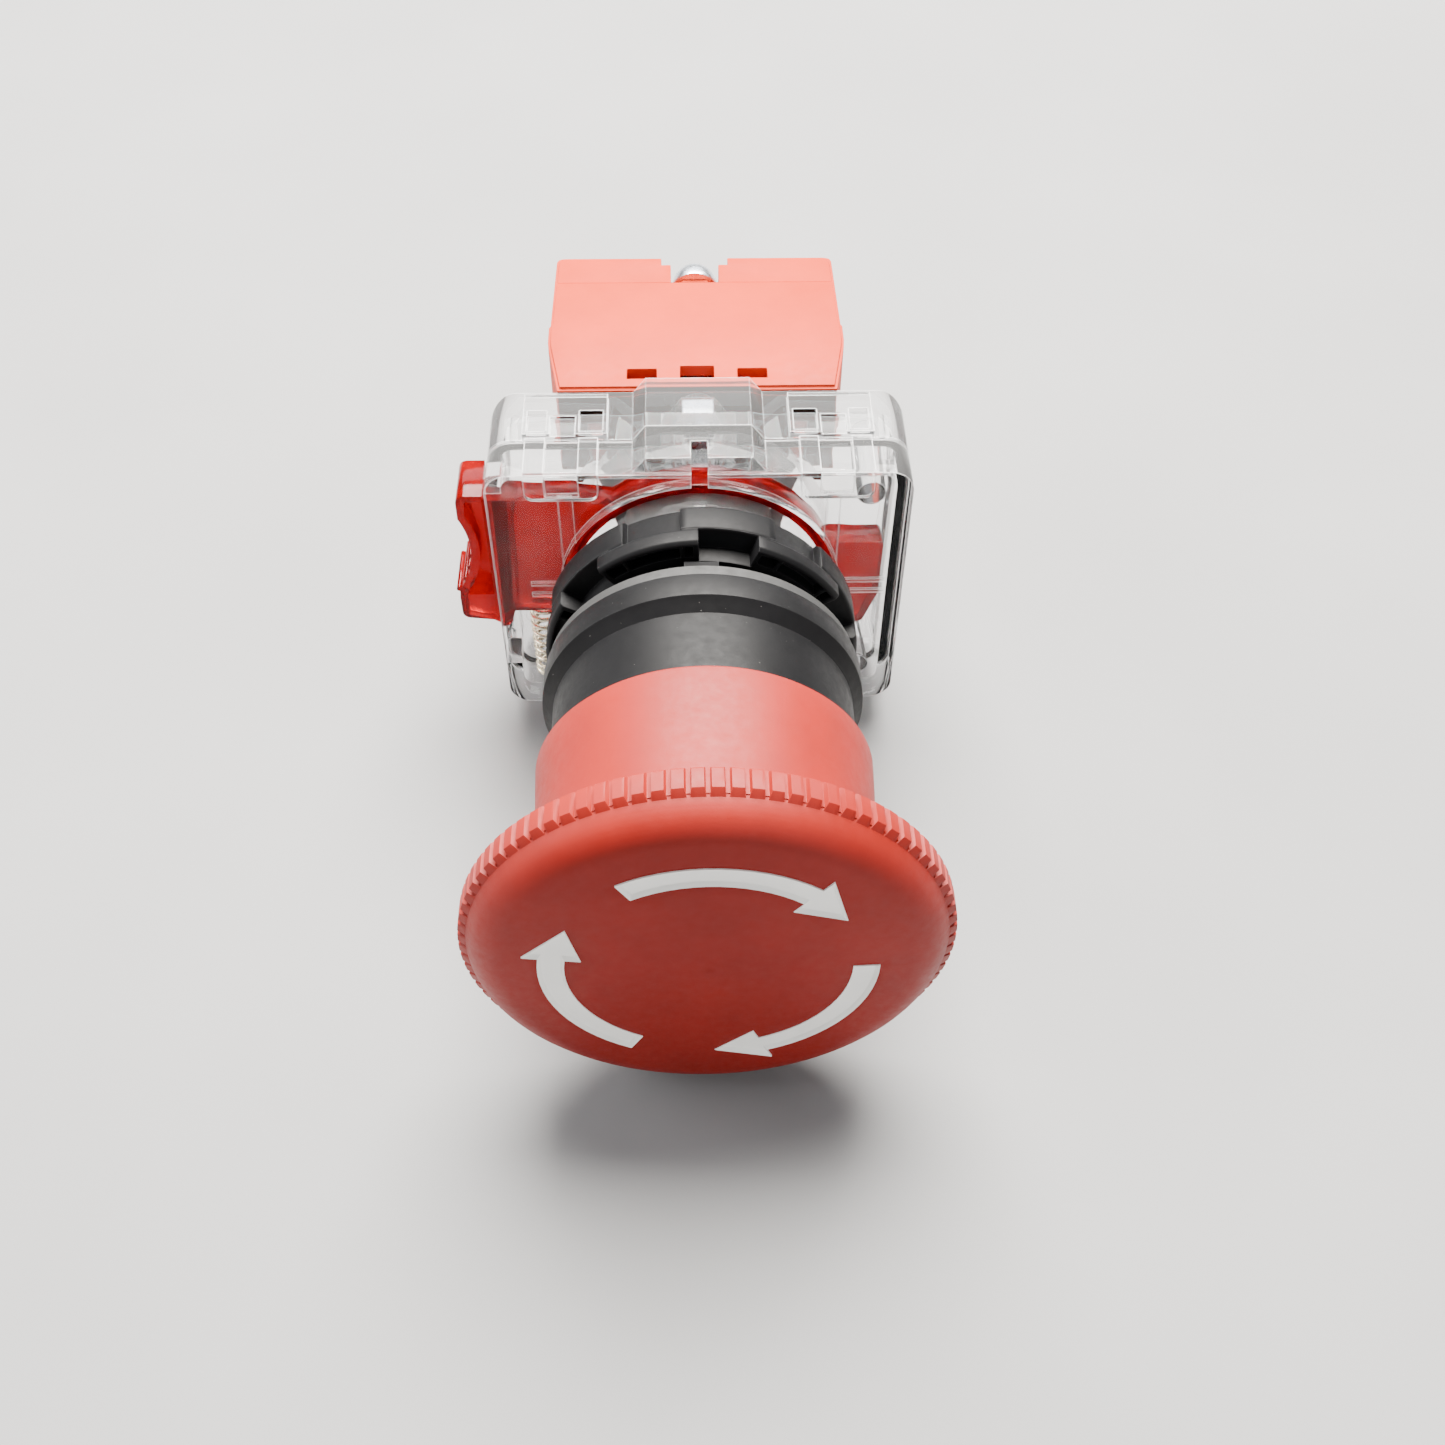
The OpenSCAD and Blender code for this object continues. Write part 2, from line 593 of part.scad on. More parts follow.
module contact_housing() color(coral) {
    difference() {
        block_plan(block_z0, lid_z);
        // chambers: the middle one and one for each terminal
        difference() {
            block_plan(block_z0 + block_wall, lid_z + 1, block_wall);
            block([-20, inner_rear, 0], [20, block_rear, 20]);
            both_sides() block([4.4, 33, 0], [5.4, 50, 20]);
        }
        both_sides() {
            block([5.4, inner_rear - 1, block_z0 + block_wall], [12.5, 41.4, lid_z + 1]);
            rod(3.3, 41, block_rear + 1, terminal_x, terminal_z);
            // wire entry
            block([12, 38.5, 7.4], [15, 41.2, 12.8]);
        }
        rear_notch(10.2, lid_z + 1);
        // window for the plunger's nose
        block([-1.65, base_rear - 1, 6.5], [1.65, base_rear + 2, 8.4]);
        rod(screw_hole_r, base_rear - 1, block_rear, 0, screw_z);
    }
    difference() {
        union() {
            // tunnel that holds the mounting screw
            block([-2.3, 27, 11], [2.3, inner_rear + e, lid_z]);
            rod(2, inner_rear, screw_seat, 0, screw_z);
        }
        rod(screw_hole_r, base_rear - 1, block_rear, 0, screw_z);
        block([-3, 20, lid_z], [3, 50, 20]);
    }
    // hooks that hold the block in the base
    both_sides() {
        block([8.9, base_rear - rear_wall - 0.6, 9], [10.1, base_rear + e, 11.2]);
        block([8.9, base_rear - rear_wall - 0.6, 8.2], [10.1, base_rear - rear_wall - 0.1, 9 + e]);
    }
    // ribs that back the fixed contacts
    both_sides() block([5.8, base_rear + block_wall - e, 7.6], [8.6, 23.8, 11]);
}

module contact_cover() color(coral) difference() {
    union() {
        block_plan(lid_z, block_z1 - 0.3);
        // top layer, set in a little from the sides
        block_plan(block_z1 - 0.3 - e, block_z1, 0.25);
    }
    rear_notch(lid_z - 1, 20);
    block([-1.6, 23.4, lid_z - 1], [1.6, 25.7, 20]);
    both_sides() block([3.8, 23.8, lid_z - 1], [6.6, 25.3, 20]);
    // slightly lower strip along the rear
    block([-20, 39.2, block_z1 - 0.12], [20, 50, 20]);
}

module plunger() color([0.92, 0.90, 0.86]) difference() {
    union() {
        block([-1.5, plunger_tip, 6.7], [1.5, 24.2, 8.2]);
        block([-2.1, 24, 6.9], [2.1, 31.8, 10.8]);
    }
    rod(1.75, 28.4, 40, 0, 8.85);
    // slot that carries the bridge
    block([-3, bridge_y - 0.06, contact_z - 1.1], [3, bridge_y + 0.7, contact_z + 1.1]);
}

module contact_bridge() color([0.80, 0.55, 0.32]) difference() {
    block([-8.2, bridge_y, contact_z - 1], [8.2, bridge_y + 0.6, contact_z + 1]);
    both_sides() rod(0.35, bridge_y - 1, bridge_y + 2, 4.6, contact_z);
}

module bridge_tips() color("silver") both_sides()
    rod(tip_r, bridge_y - tip_t, bridge_y, 7.2, contact_z);

module fixed_tips() color("silver") both_sides()
    rod(tip_r, bridge_y - 2 * tip_t - 0.02, bridge_y - tip_t - 0.02, 7.2, contact_z);

// Strip from the contact tip along the side wall to the threaded pad
module terminal_plates() color([0.78, 0.62, 0.35]) both_sides() difference() {
    y0 = bridge_y - 2 * tip_t - 0.02 - 0.55;
    union() {
        block([6, y0, contact_z - 1.3], [11.75, y0 + 0.55, contact_z + 1.3]);
        block([11.15, y0, contact_z - 1.3], [11.75, pad_y + 1.4, contact_z + 1.3]);
        block([5.9, pad_y, terminal_z - 2.9], [11.75, pad_y + 1.4, terminal_z + 2.9]);
    }
    rod(1.6, pad_y - 1, pad_y + 3, terminal_x, terminal_z);
}

module terminal_screws() color(steel) both_sides() difference() {
    union() {
        rod(1.55, 33.6, 41.2, terminal_x, terminal_z);
        translate([terminal_x, 0, terminal_z])
            lathe([[0, 41.2], [2.9, 41.2], [2.9, 42.5], [2.3, 43.2], [0, 43.3]]);
    }
    // cross slot
    for (a = [0, 90])
        translate([terminal_x, 42.2, terminal_z]) rotate([0, a, 0]) block([-1.7, 0, -0.35], [1.7, 2, 0.35]);
}

module wire_clamps() color(zinc) both_sides() difference() {
    block([terminal_x - 2.9, 40.3, terminal_z - 2.9], [terminal_x + 2.9, 41.2, terminal_z + 2.9]);
    rod(1.6, 40, 42, terminal_x, terminal_z);
}

module contact_spring() color(steel) translate([0, 0, 8.85])
    wire(coil(1.3, 28.4 + 0.22, inner_rear - 0.22, 7.5, 12), 0.2, 6, [0, 1, 0.001]);

module mounting_screw() color(zinc) difference() {
    union() {
        rod(m25_r, 17.2, screw_seat + e, 0, screw_z);
        translate([0, 0, screw_z]) lathe(concat([[0, screw_seat], [screw_head_r, screw_seat]],
            [for (a = [0:10:90]) [screw_head_r * cos(a), screw_seat + 0.7 + 2.9 * sin(a)]]));
    }
    block([-3, 44.2, screw_z - 0.3], [3, 46, screw_z + 0.3]);
}

mushroom_head();
arrow_inlays();
push_stem();
snap_ring();
torsion_spring();
latch_pin();
actuator_plate();
return_spring();
cam_sleeve();
bezel_body();
wiper_seal();
panel_gasket();
lock_nut();
base_cover();
base_body();
lock_lever();
lever_spring();
clamp_nuts();
contact_housing();
contact_cover();
plunger();
contact_bridge();
bridge_tips();
fixed_tips();
terminal_plates();
terminal_screws();
wire_clamps();
contact_spring();
mounting_screw();
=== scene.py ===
import math

import bmesh
import bpy
from mathutils import Matrix, Vector


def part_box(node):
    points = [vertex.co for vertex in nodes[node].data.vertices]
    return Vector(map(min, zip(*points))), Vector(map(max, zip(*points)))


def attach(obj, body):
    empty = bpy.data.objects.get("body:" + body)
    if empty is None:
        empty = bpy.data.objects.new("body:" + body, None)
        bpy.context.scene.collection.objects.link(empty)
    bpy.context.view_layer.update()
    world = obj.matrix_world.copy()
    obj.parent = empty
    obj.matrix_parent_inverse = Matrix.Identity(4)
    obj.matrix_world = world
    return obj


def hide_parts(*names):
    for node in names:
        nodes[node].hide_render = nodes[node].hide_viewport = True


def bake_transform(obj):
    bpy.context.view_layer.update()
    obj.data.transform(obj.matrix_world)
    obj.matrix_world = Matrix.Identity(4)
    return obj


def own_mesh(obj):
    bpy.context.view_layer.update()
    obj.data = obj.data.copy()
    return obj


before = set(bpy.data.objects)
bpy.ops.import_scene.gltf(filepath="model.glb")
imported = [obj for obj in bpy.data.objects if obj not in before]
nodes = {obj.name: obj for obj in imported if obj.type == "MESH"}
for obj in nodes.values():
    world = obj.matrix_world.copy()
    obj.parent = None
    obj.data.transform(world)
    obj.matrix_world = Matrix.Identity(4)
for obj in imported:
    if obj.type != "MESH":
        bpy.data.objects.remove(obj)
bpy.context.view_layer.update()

MM = 0.001


# ---------------------------------------------------------------- places
def low(node):
    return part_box(node)[0]


def high(node):
    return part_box(node)[1]


# ---------------------------------------------------------------- camera
CAMERA_PLACE = Vector((-1.277, -102.213, 111.125)) * MM
PITCH = math.radians(50.35)
ROLL = math.radians(1.377)
YAW = math.radians(2.992)


def make_camera():
    """The view is from above the head, looking down at the clear base behind it."""
    level_share = math.cos(PITCH)
    ahead = Vector((math.sin(YAW) * level_share, math.cos(YAW) * level_share, -math.sin(PITCH)))
    level = Vector((math.cos(YAW), -math.sin(YAW), 0))
    up = level.cross(ahead)
    right = math.cos(ROLL) * level + math.sin(ROLL) * up
    up = right.cross(ahead)
    data = bpy.data.cameras.new("camera")
    data.sensor_width = 36
    data.lens = 40.93
    data.shift_x = -0.0153
    data.shift_y = 0.0271
    data.clip_start = 1 * MM
    data.clip_end = 20
    camera = bpy.data.objects.new("camera", data)
    turn = Matrix((right, up, -ahead)).transposed().to_4x4()
    camera.matrix_world = Matrix.Translation(CAMERA_PLACE) @ turn
    bpy.context.scene.collection.objects.link(camera)
    bpy.context.scene.camera = camera


# ---------------------------------------------------------------- node trees
class Tree:
    """A material's node tree, with short calls for the nodes used here."""

    def __init__(self, name):
        self.material = bpy.data.materials.new(name)
        self.material.use_nodes = True
        self.nodes = self.material.node_tree.nodes
        self.links = self.material.node_tree.links
        self.shader = self.nodes["Principled BSDF"]
        self.place = self.nodes.new("ShaderNodeTexCoord").outputs["Object"]

    def link(self, a, b):
        self.links.new(a, b)

    def set(self, **values):
        for key, value in values.items():
            self.shader.inputs[key.replace("_", " ")].default_value = value

    def noise(self, size, detail=3, rough=0.5, stretch=None):
        node = self.nodes.new("ShaderNodeTexNoise")
        node.inputs["Scale"].default_value = 1 / size
        node.inputs["Detail"].default_value = detail
        node.inputs["Roughness"].default_value = rough
        place = self.place
        if stretch:
            mapping = self.nodes.new("ShaderNodeMapping")
            mapping.inputs["Scale"].default_value = stretch
            self.link(place, mapping.inputs["Vector"])
            place = mapping.outputs["Vector"]
        self.link(place, node.inputs["Vector"])
        return node.outputs["Fac"]

    def ramp(self, factor, stops):
        node = self.nodes.new("ShaderNodeValToRGB")
        ramp = node.color_ramp
        while len(ramp.elements) < len(stops):
            ramp.elements.new(0.5)
        for element, (at, color) in zip(ramp.elements, stops):
            element.position = at
            element.color = (*color, 1)
        self.link(factor, node.inputs["Fac"])
        return node.outputs["Color"]

    def span(self, factor, low_value, high_value, from_low=0.3, from_high=0.7):
        node = self.nodes.new("ShaderNodeMapRange")
        node.inputs["From Min"].default_value = from_low
        node.inputs["From Max"].default_value = from_high
        node.inputs["To Min"].default_value = low_value
        node.inputs["To Max"].default_value = high_value
        self.link(factor, node.inputs["Value"])
        return node.outputs["Result"]

    def math(self, kind, a, b):
        node = self.nodes.new("ShaderNodeMath")
        node.operation = kind
        for socket, value in zip(node.inputs, (a, b)):
            if isinstance(value, (int, float)):
                socket.default_value = value
            else:
                self.link(value, socket)
        return node.outputs["Value"]

    def mix(self, factor, base, over):
        """The base colour output, with the plain colour over it by the factor output."""
        node = self.nodes.new("ShaderNodeMix")
        node.data_type = "RGBA"
        sockets = {(s.name, s.type): s for s in node.inputs}
        self.link(factor, sockets["Factor", "VALUE"])
        self.link(base, sockets["A", "RGBA"])
        sockets["B", "RGBA"].default_value = (*over, 1)
        return [s for s in node.outputs if s.type == "RGBA"][0]

    def edges(self, radius):
        """1 along sharp edges, out to about the radius from them, and 0 on open faces."""
        bevel = self.nodes.new("ShaderNodeBevel")
        bevel.samples = 4
        bevel.inputs["Radius"].default_value = radius
        geometry = self.nodes.new("ShaderNodeNewGeometry")
        dot = self.nodes.new("ShaderNodeVectorMath")
        dot.operation = "DOT_PRODUCT"
        self.link(bevel.outputs["Normal"], dot.inputs[0])
        self.link(geometry.outputs["Normal"], dot.inputs[1])
        return self.span(dot.outputs["Value"], 1, 0, 0.7, 0.975)

    def crown(self, slope, radius):
        """Normal of a faint dome about the push axis, with the given slope at the given radius."""
        place = self.nodes.new("ShaderNodeSeparateXYZ")
        self.link(self.nodes.new("ShaderNodeNewGeometry").outputs["Position"], place.inputs["Vector"])
        x, z = place.outputs["X"], place.outputs["Z"]
        squares = self.math("ADD", self.math("MULTIPLY", x, x), self.math("MULTIPLY", z, z))
        node = self.nodes.new("ShaderNodeBump")
        node.inputs["Strength"].default_value = 1
        node.inputs["Distance"].default_value = 1
        self.link(self.math("MULTIPLY", squares, -slope / (2 * radius)), node.inputs["Height"])
        return node.outputs["Normal"]

    def bump(self, height, strength, distance, normal=None):
        node = self.nodes.new("ShaderNodeBump")
        node.inputs["Strength"].default_value = strength
        node.inputs["Distance"].default_value = distance
        self.link(height, node.inputs["Height"])
        if normal:
            self.link(normal, node.inputs["Normal"])
        self.link(node.outputs["Normal"], self.shader.inputs["Normal"])


DUST = (0.45, 0.44, 0.42)
CROWN_RADIUS = 16 * MM
PLASTIC_EDGE = 0.06 * MM


def moulded(name, color, rough, grain=0.16 * MM, depth=0.010 * MM, edge=None, shade=0.08,
            dust=0, crown=0, **shader):
    """Moulded plastic or rubber: slight colour drift and a fine eroded grain. Some have edges
    rubbed brighter, specks of dust, or a crown that shades the face as a faint dome."""
    t = Tree(name)
    drift = t.noise(6 * MM, 4, 0.6)
    dark = tuple(c * (1 - shade) for c in color)
    light = tuple(min(1, c * (1 + shade)) for c in color)
    base = t.ramp(drift, [(0.3, dark), (0.7, light)])
    if edge:
        patch = t.noise(1.2 * MM, 3, 0.6)
        amount = t.math("MULTIPLY", t.edges(PLASTIC_EDGE), t.span(patch, 0.2, 0.9, 0.35, 0.65))
        base = t.mix(amount, base, edge)
    if dust:
        speck = t.span(t.noise(0.22 * MM, 1, 0.5), 0, 1, 0.80, 0.84)
        base = t.mix(t.math("MULTIPLY", speck, dust), base, DUST)
    t.link(base, t.shader.inputs["Base Color"])
    t.link(t.span(t.noise(0.9 * MM, 4, 0.65), *rough), t.shader.inputs["Roughness"])
    t.bump(t.noise(grain, 3, 0.7), 0.6, depth, t.crown(crown, CROWN_RADIUS) if crown else None)
    t.set(**shader)
    return t.material


FLOW_STRETCH = (1, 0.35, 1)
WAVE_DEPTH = 0.004 * MM


def clear_plastic(name, color, haze, rim, coat, rough=0.015, edge_radius=0.08 * MM, painted_sheen_haze=0, **shader):
    """Clear moulded polycarbonate: faint flow waves and a little haze. Faces that face neither front nor
    back can get extra haze, a painted sheen for the reflections on the top; the edges get the most,
    painted white as a glow for the light that comes out of the walls.
    The coat is the reflection's weight on open faces and at the edges."""
    t = Tree(name)
    flow = t.noise(5 * MM, 2, 0.5, FLOW_STRETCH)
    tint = tuple(c * 0.985 for c in color)
    t.link(t.ramp(flow, [(0.35, tint), (0.65, color)]), t.shader.inputs["Base Color"])
    # Edge mask: slightly rougher edges (wear), the coat's weight, and the painted white edge glow
    edge_wear_and_glow = t.edges(edge_radius)
    scuff = t.noise(0.5 * MM, 5, 0.7)
    t.link(t.math("ADD", t.span(scuff, rough * 0.5, rough * 1.5), t.math("MULTIPLY", edge_wear_and_glow, 0.06)),
           t.shader.inputs["Roughness"])
    t.bump(t.noise(2.2 * MM, 2, 0.5), 0.35, WAVE_DEPTH)
    cloud = t.span(t.noise(3 * MM, 3, 0.6), haze * 0.5, haze * 1.5)
    # Painted glow: the rim share turns the edges white in place of light coming out of the walls
    solid = t.math("ADD", cloud, t.math("MULTIPLY", edge_wear_and_glow, rim))
    # Painted sheen: faces that face neither front nor back are made milkier, in place of reflections on the
    # top
    if painted_sheen_haze:
        facing = t.nodes.new("ShaderNodeSeparateXYZ")
        t.link(t.nodes.new("ShaderNodeNewGeometry").outputs["True Normal"], facing.inputs["Vector"])
        along = t.math("ABSOLUTE", facing.outputs["Y"], 0)
        solid = t.math("ADD", solid, t.span(along, painted_sheen_haze, 0, 0.2, 0.8))
    solid = t.math("MINIMUM", solid, 1.0)
    t.link(t.math("SUBTRACT", 1.0, solid), t.shader.inputs["Transmission Weight"])
    t.link(t.span(edge_wear_and_glow, *coat, 0, 1), t.shader.inputs["Coat Weight"])
    t.set(**shader)
    return t.material


STREAK_SIZE = 0.35 * MM
STREAK_DEPTH = 0.006 * MM
ROLLED = (0.2, 1, 1)


def metal(name, color, rough, stretch=(1, 1, 1), spots=None):
    """Plated or drawn metal with fine streaks and a slightly uneven tone."""
    t = Tree(name)
    tone = t.noise(1.6 * MM, 4, 0.6)
    dark = tuple(c * 0.82 for c in color)
    base = t.ramp(tone, [(0.3, dark), (0.7, color)])
    if spots:
        base = t.mix(t.span(t.noise(0.7 * MM, 5, 0.7), 0, 0.45, 0.55, 0.75), base, spots)
    t.link(base, t.shader.inputs["Base Color"])
    streak = t.noise(STREAK_SIZE, 4, 0.65, stretch)
    t.link(t.span(streak, *rough), t.shader.inputs["Roughness"])
    t.bump(streak, 0.5, STREAK_DEPTH)
    t.set(Metallic=1.0)
    return t.material


def make_plastics():
    return {
        "red": moulded("red_plastic", (0.225, 0.0062, 0.0019), (0.50, 0.62), grain=0.20 * MM,
                       edge=(0.42, 0.04, 0.025), crown=0.20, Specular_IOR_Level=0.26),
        "coral": moulded("coral_plastic", (0.43, 0.031, 0.006), (0.45, 0.60), grain=0.25 * MM,
                         depth=0.014 * MM, edge=(0.62, 0.12, 0.06), Specular_IOR_Level=0.16),
        "black": moulded("black_plastic", (0.0045, 0.0045, 0.005), (0.44, 0.56),
                         edge=(0.12, 0.12, 0.125), shade=0.15, dust=0.5, Specular_IOR_Level=0.11),
        "rubber": moulded("black_rubber", (0.015, 0.015, 0.015), (0.62, 0.80), grain=0.10 * MM,
                          depth=0.014 * MM, shade=0.2),
        "white": moulded("white_fill", (0.93, 0.92, 0.88), (0.35, 0.55), grain=0.12 * MM,
                         depth=0.008 * MM, shade=0.04),
        "nylon": moulded("natural_nylon", (0.74, 0.71, 0.63), (0.38, 0.52), shade=0.05),
        # The clear base gets a painted white edge glow and a painted sheen on its top and sides
        "clear": clear_plastic("clear_polycarbonate", (0.99, 0.992, 0.995), 0.005, 0.90, (0.10, 1.0),
                               edge_radius=0.22 * MM, painted_sheen_haze=0.045, IOR=1.12,
                               Specular_IOR_Level=0.5, Coat_IOR=1.5, Coat_Roughness=0.02),
        # The ruby lever's edges get the painted white glow too
        "ruby": clear_plastic("ruby_polycarbonate", (0.31, 0.0006, 0.0015), 0.26, 0.35, (0.05, 0.4),
                              rough=0.10, IOR=1.22, Specular_IOR_Level=0.2, Coat_Roughness=0.06),
    }


def make_metals():
    return {
        "wire": metal("spring_wire", (0.86, 0.76, 0.56), (0.20, 0.34), spots=(0.45, 0.36, 0.22)),
        "zinc": metal("blue_zinc", (0.74, 0.79, 0.86), (0.20, 0.38), spots=(0.60, 0.62, 0.50)),
        "brass": metal("brass_strip", (0.80, 0.60, 0.30), (0.24, 0.40), ROLLED),
        "copper": metal("copper_strip", (0.82, 0.48, 0.32), (0.24, 0.40), ROLLED),
        "silver": metal("silver_tips", (0.90, 0.88, 0.86), (0.18, 0.32)),
    }


NODE_MATERIALS = {
    "red": ["mushroom_head"],
    "white": ["arrow_inlays"],
    "black": ["bezel_body", "lock_nut", "cam_sleeve"],
    "rubber": ["wiper_seal", "panel_gasket"],
    "nylon": ["push_stem", "actuator_plate", "plunger"],
    "clear": ["base_cover", "base_body"],
    "ruby": ["lock_lever"],
    "coral": ["contact_housing", "contact_cover"],
    "wire": ["lever_spring", "return_spring", "torsion_spring", "contact_spring", "snap_ring", "latch_pin"],
    "zinc": ["clamp_nuts", "terminal_screws", "wire_clamps", "mounting_screw"],
    "copper": ["contact_bridge"],
    "silver": ["bridge_tips", "fixed_tips"],
    "brass": ["terminal_plates"],
}


def dress_nodes(materials):
    for key, names in NODE_MATERIALS.items():
        for name in names:
            mesh = nodes[name].data
            mesh.materials.clear()
            mesh.materials.append(materials[key])


# ---------------------------------------------------------------- edges
# How far each node's sharp edges are rounded, in mm
EDGE_WIDTHS = {
    "mushroom_head": 0.07, "bezel_body": 0.10, "lock_nut": 0.12,
    "base_cover": 0.16, "base_body": 0.16, "lock_lever": 0.14, "clamp_nuts": 0.10,
    "contact_housing": 0.10, "contact_cover": 0.10, "plunger": 0.10,
    "terminal_screws": 0.08, "wire_clamps": 0.06, "mounting_screw": 0.06,
}
SMOOTH_ANGLE = math.radians(35)


def round_edges(piece, width, angle):
    bevel = piece.modifiers.new("edges", "BEVEL")
    bevel.width = width * MM
    bevel.segments = 2
    bevel.limit_method = "ANGLE"
    bevel.angle_limit = math.radians(angle)


def soften(node, width):
    """Welds the imported mesh, rounds its sharp edges and shades it smooth between them."""
    weld = node.modifiers.new("weld", "WELD")
    weld.merge_threshold = 0.001 * MM
    if width:
        round_edges(node, width, 40)
    smooth = node.modifiers.new("smooth", "NODES")
    smooth.node_group = smooth_group()


def smooth_group():
    """Node group, made once, that shades faces smooth where they meet at less than the angle."""
    group = bpy.data.node_groups.get("smooth_by_angle")
    if group:
        return group
    group = bpy.data.node_groups.new("smooth_by_angle", "GeometryNodeTree")
    group.interface.new_socket("Geometry", in_out="INPUT", socket_type="NodeSocketGeometry")
    group.interface.new_socket("Geometry", in_out="OUTPUT", socket_type="NodeSocketGeometry")
    start = group.nodes.new("NodeGroupInput")
    end = group.nodes.new("NodeGroupOutput")
    faces = group.nodes.new("GeometryNodeSetShadeSmooth")
    edges = group.nodes.new("GeometryNodeSetShadeSmooth")
    edges.domain = "EDGE"
    angle = group.nodes.new("GeometryNodeInputMeshEdgeAngle")
    sharp = group.nodes.new("FunctionNodeCompare")
    sharp.operation = "GREATER_THAN"
    sharp.inputs["B"].default_value = SMOOTH_ANGLE
    edges.inputs["Shade Smooth"].default_value = False
    links = group.links
    links.new(start.outputs[0], faces.inputs["Geometry"])
    links.new(faces.outputs[0], edges.inputs["Geometry"])
    links.new(angle.outputs["Unsigned Angle"], sharp.inputs["A"])
    links.new(sharp.outputs[0], edges.inputs["Selection"])
    links.new(edges.outputs[0], end.inputs[0])
    return group


# ---------------------------------------------------------------- new pieces
def new_object(name, bm, material):
    mesh = bpy.data.meshes.new(name)
    bm.to_mesh(mesh)
    bm.free()
    mesh.materials.append(material)
    piece = bpy.data.objects.new(name, mesh)
    bpy.context.scene.collection.objects.link(piece)
    return piece


def make_arrows():
    """White arrows dished into the head's face: a level floor with sloping white walls."""
    node = nodes["arrow_inlays"]
    bm = bmesh.new()
    bm.from_mesh(node.data)
    bm.transform(node.matrix_world)
    bmesh.ops.remove_doubles(bm, verts=bm.verts, dist=0.002 * MM)
    front = min(v.co.y for v in bm.verts)
    near = 0.01 * MM
    bmesh.ops.dissolve_limit(bm, angle_limit=math.radians(0.5), verts=bm.verts, edges=bm.edges)
    lip = low("mushroom_head").y + 0.04 * MM
    floor_depth = 0.36 * MM
    wall_width = 0.30 * MM
    for v in bm.verts:
        if v.co.y < front + near:
            v.co.y = lip
    tops = [f for f in bm.faces if f.normal.y < -0.9 and f.calc_center_median().y < lip + near]
    bmesh.ops.inset_region(bm, faces=tops, thickness=wall_width, depth=-floor_depth, use_even_offset=True)
    piece = new_object("arrow_dishes", bm, node.data.materials[0])
    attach(piece, "head")
    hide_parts("arrow_inlays")
    round_edges(piece, 0.05, 30)


WIRE_SIDES = 12
STEPS_PER_TURN = 40
CLOSED_PITCH = 2.04             # rise of a closed turn, in wire radii


def sweep(path, radius):
    """A round wire along a path of points."""
    bm = bmesh.new()
    rings = []
    side = Vector((0, 0, 1))
    for k, point in enumerate(path):
        ahead = (path[min(k + 1, len(path) - 1)] - path[max(k - 1, 0)]).normalized()
        side = (side - ahead * side.dot(ahead)).normalized()
        other = ahead.cross(side)
        ring = []
        for j in range(WIRE_SIDES):
            a = 2 * math.pi * j / WIRE_SIDES
            ring.append(bm.verts.new(point + radius * (math.cos(a) * side + math.sin(a) * other)))
        rings.append(ring)
    for a, b in zip(rings, rings[1:]):
        for j in range(WIRE_SIDES):
            after = (j + 1) % WIRE_SIDES
            bm.faces.new((a[j], a[after], b[after], b[j]))
    bm.faces.new(list(reversed(rings[0])))
    bm.faces.new(rings[-1])
    for face in bm.faces:
        face.smooth = True
    return bm


def coil_path(centre, radius, wire, bottom, top, turns, axis):
    """Points of a coil about the y or z axis, with its first and last turn closed up."""
    a, b = bottom + wire, top - wire
    closed_rise = CLOSED_PITCH * wire
    path = []
    for k in range(int(turns * STEPS_PER_TURN) + 1):
        turn = k / STEPS_PER_TURN
        angle = 2 * math.pi * turn
        if turn < 1:
            rise = closed_rise * turn
        elif turn > turns - 1:
            rise = b - a - closed_rise * (turns - turn)
        else:
            share = (turn - 1) / (turns - 2)
            rise = closed_rise + share * (b - a - 2 * closed_rise)
        x, other = radius * math.cos(angle), radius * math.sin(angle)
        if axis == "z":
            path.append(Vector((centre.x + x, centre.y + other, a + rise)))
        else:
            path.append(Vector((centre.x + x, a + rise, centre.z + other)))
    return path


def make_spring(name, node, wire, turns, axis="y"):
    """Round wire coil that stands in for a plainer one, and moves with the operator.
    The lever's coil runs along z, and the others along y."""
    a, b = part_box(node)
    centre = (a + b) / 2
    radius = (b.x - a.x) / 2 - wire
    anchor = centre.copy()
    if axis == "z":
        path = coil_path(centre, radius, wire, a.z, b.z, turns, axis)
        anchor.z = a.z
    else:
        path = coil_path(centre, radius, wire, a.y, b.y, turns, axis)
        anchor.y = b.y
    coil = new_object(name, sweep(path, wire), nodes[node].data.materials[0])
    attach(coil, "operator")
    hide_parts(node)
    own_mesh(coil)


def make_torsion_spring():
    """Coil with one leg in the head and one in the stem."""
    node = "torsion_spring"
    a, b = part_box(node)
    centre = (a + b) / 2
    wire = 0.35 * MM
    turns = 5.5
    radius = (b.x - a.x) / 2 - wire
    head_leg, stem_leg = 1.1 * MM, 1.6 * MM
    coil = coil_path(centre, radius, wire, a.y + head_leg, b.y - stem_leg, turns, "y")
    start, end = coil[0], coil[-1]
    path = [Vector((start.x, a.y, start.z)), Vector((start.x, a.y + 0.8 * head_leg, start.z))]
    path += coil
    path += [Vector((end.x, b.y - 0.5 * stem_leg, end.z)), Vector((end.x, b.y, end.z))]
    piece = new_object("torsion_coil", sweep(path, wire), nodes[node].data.materials[0])
    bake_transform(piece)
    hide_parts(node)


# ---------------------------------------------------------------- stage
RIM_REAR = 4.9 * MM              # from the head's face to the rear of its rim
FLOOR_HALF = 1.5
FLOOR_TONES = [(0.3, (0.22, 0.22, 0.222)), (0.7, (0.24, 0.24, 0.242))]


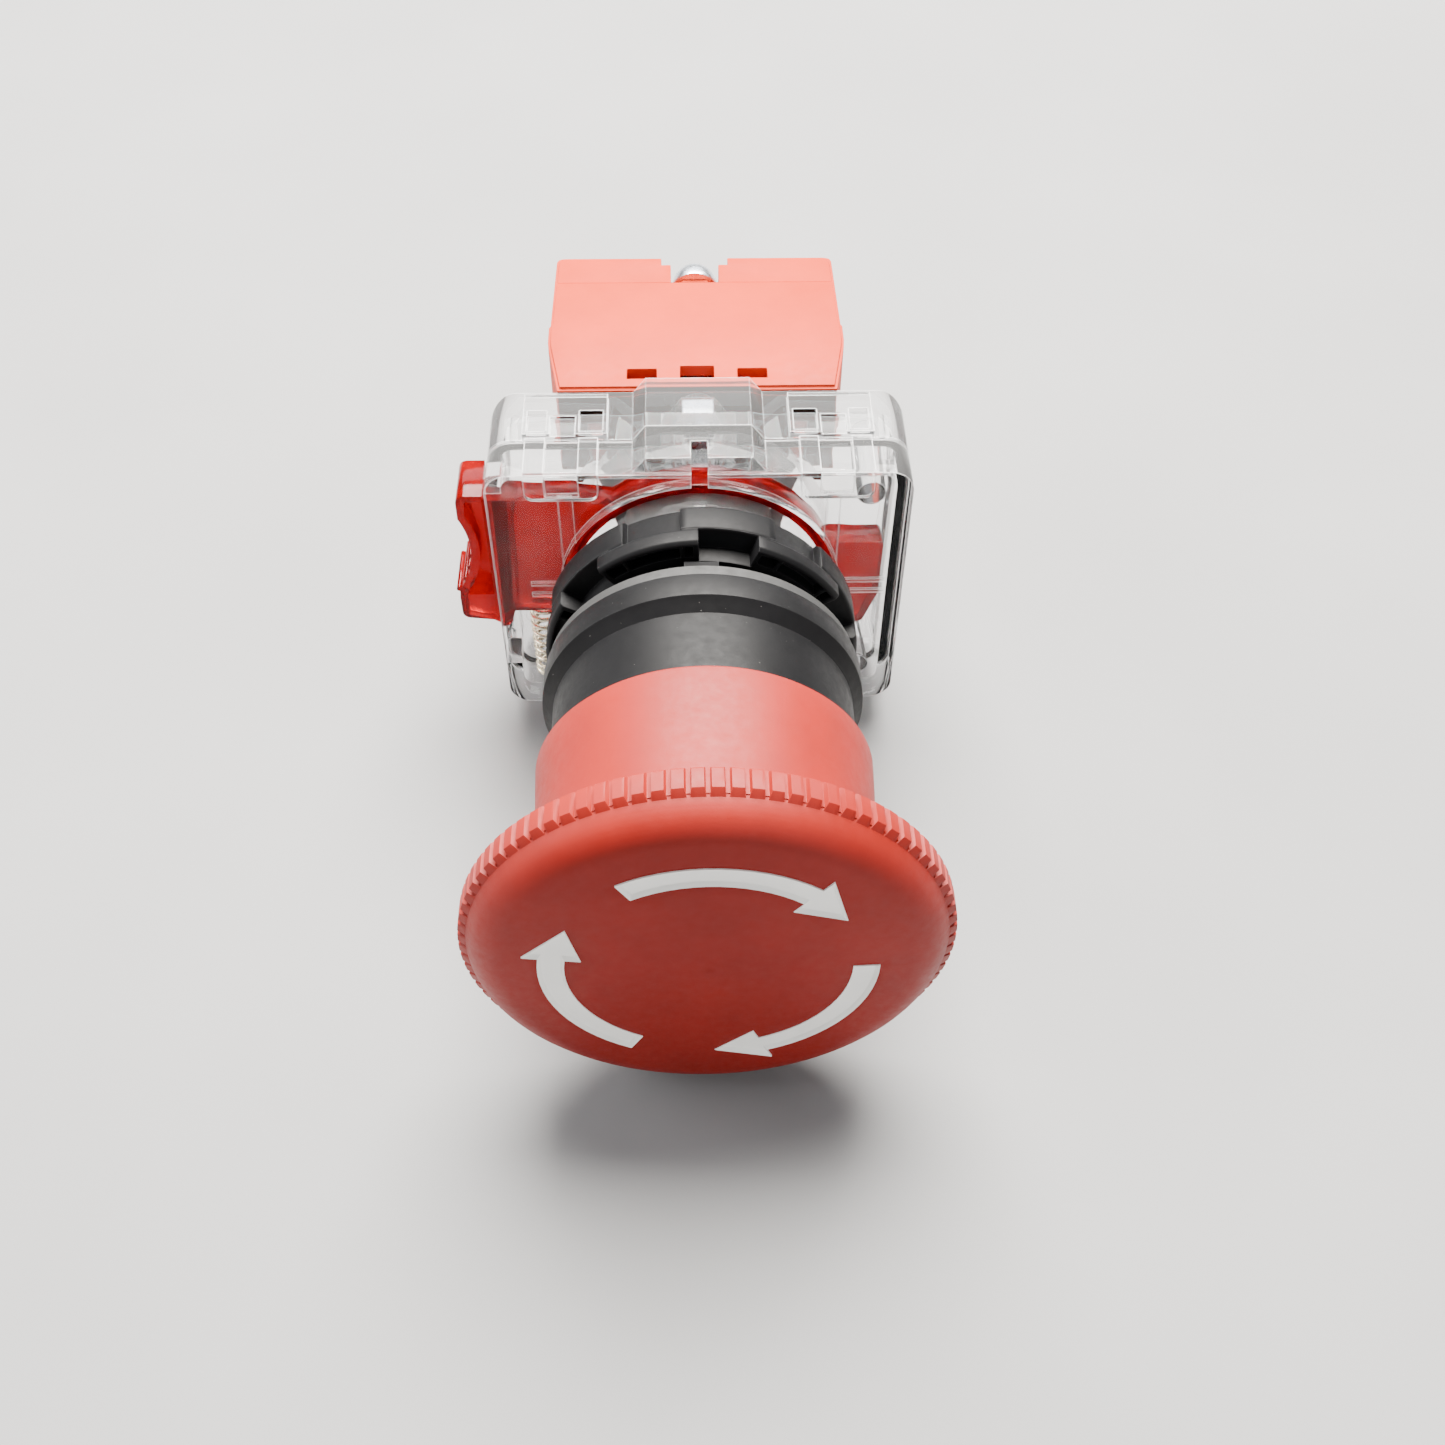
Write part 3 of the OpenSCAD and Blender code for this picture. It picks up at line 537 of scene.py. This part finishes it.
def floor_plane():
    """Point and upward normal of the surface that the rim and the base's lower tower rest on."""
    rim = Vector((0, low("mushroom_head").y + RIM_REAR, low("mushroom_head").z))
    foot = Vector((0, high("base_body").y, low("base_body").z))
    along = (foot - rim).normalized()
    return rim, Vector((1, 0, 0)).cross(along)


def make_stage():
    point, normal = floor_plane()
    mesh = bpy.data.meshes.new("floor")
    bm = bmesh.new()
    bmesh.ops.create_grid(bm, x_segments=2, y_segments=2, size=FLOOR_HALF)
    bm.to_mesh(mesh)
    bm.free()
    floor = bpy.data.objects.new("floor", mesh)
    floor.rotation_mode = "QUATERNION"
    floor.rotation_quaternion = normal.to_track_quat("Z", "Y")
    floor.location = point
    bpy.context.scene.collection.objects.link(floor)
    t = Tree("floor_paper")
    t.link(t.ramp(t.noise(40 * MM, 3), FLOOR_TONES), t.shader.inputs["Base Color"])
    t.set(Roughness=0.75)
    t.bump(t.noise(0.6 * MM, 3, 0.7), 0.3, 0.03 * MM)
    mesh.materials.append(t.material)


LIGHT_TARGET = Vector((0, 5 * MM, 0))


def area_light(name, place, size, power, color=(1, 1, 1)):
    """A soft rectangular light, in metres and watts, turned to the object."""
    data = bpy.data.lights.new(name, "AREA")
    data.shape = "RECTANGLE"
    data.size, data.size_y = size
    data.energy = power
    data.color = color
    light = bpy.data.objects.new(name, data)
    light.location = place
    light.rotation_mode = "QUATERNION"
    light.rotation_quaternion = (LIGHT_TARGET - Vector(place)).to_track_quat("-Z", "Y")
    bpy.context.scene.collection.objects.link(light)


def make_lights():
    world = bpy.data.worlds.new("studio")
    bpy.context.scene.world = world
    world.use_nodes = True
    background = world.node_tree.nodes["Background"]
    background.inputs["Color"].default_value = (0.86, 0.88, 0.92, 1)
    background.inputs["Strength"].default_value = 0.30
    area_light("key", (0.02, 0.24, 0.52), (0.50, 0.38), 37, (1.0, 0.965, 0.91))
    area_light("side", (-0.50, 0.05, 0.25), (0.3, 0.3), 3.0)
    area_light("back", (0.0, 0.70, 0.46), (0.9, 0.22), 4.0)
    area_light("front", (0.20, -0.60, 0.25), (0.5, 0.3), 2.1)


# ---------------------------------------------------------------- build
make_camera()
dress_nodes({**make_plastics(), **make_metals()})
for name, node in nodes.items():
    soften(node, EDGE_WIDTHS.get(name, 0))
make_arrows()
make_spring("lever_coil", "lever_spring", 0.22 * MM, 9.5, axis="z")
make_spring("return_coil", "return_spring", 0.45 * MM, 6.5)
make_spring("contact_coil", "contact_spring", 0.20 * MM, 7.5)
make_torsion_spring()
make_stage()
make_lights()
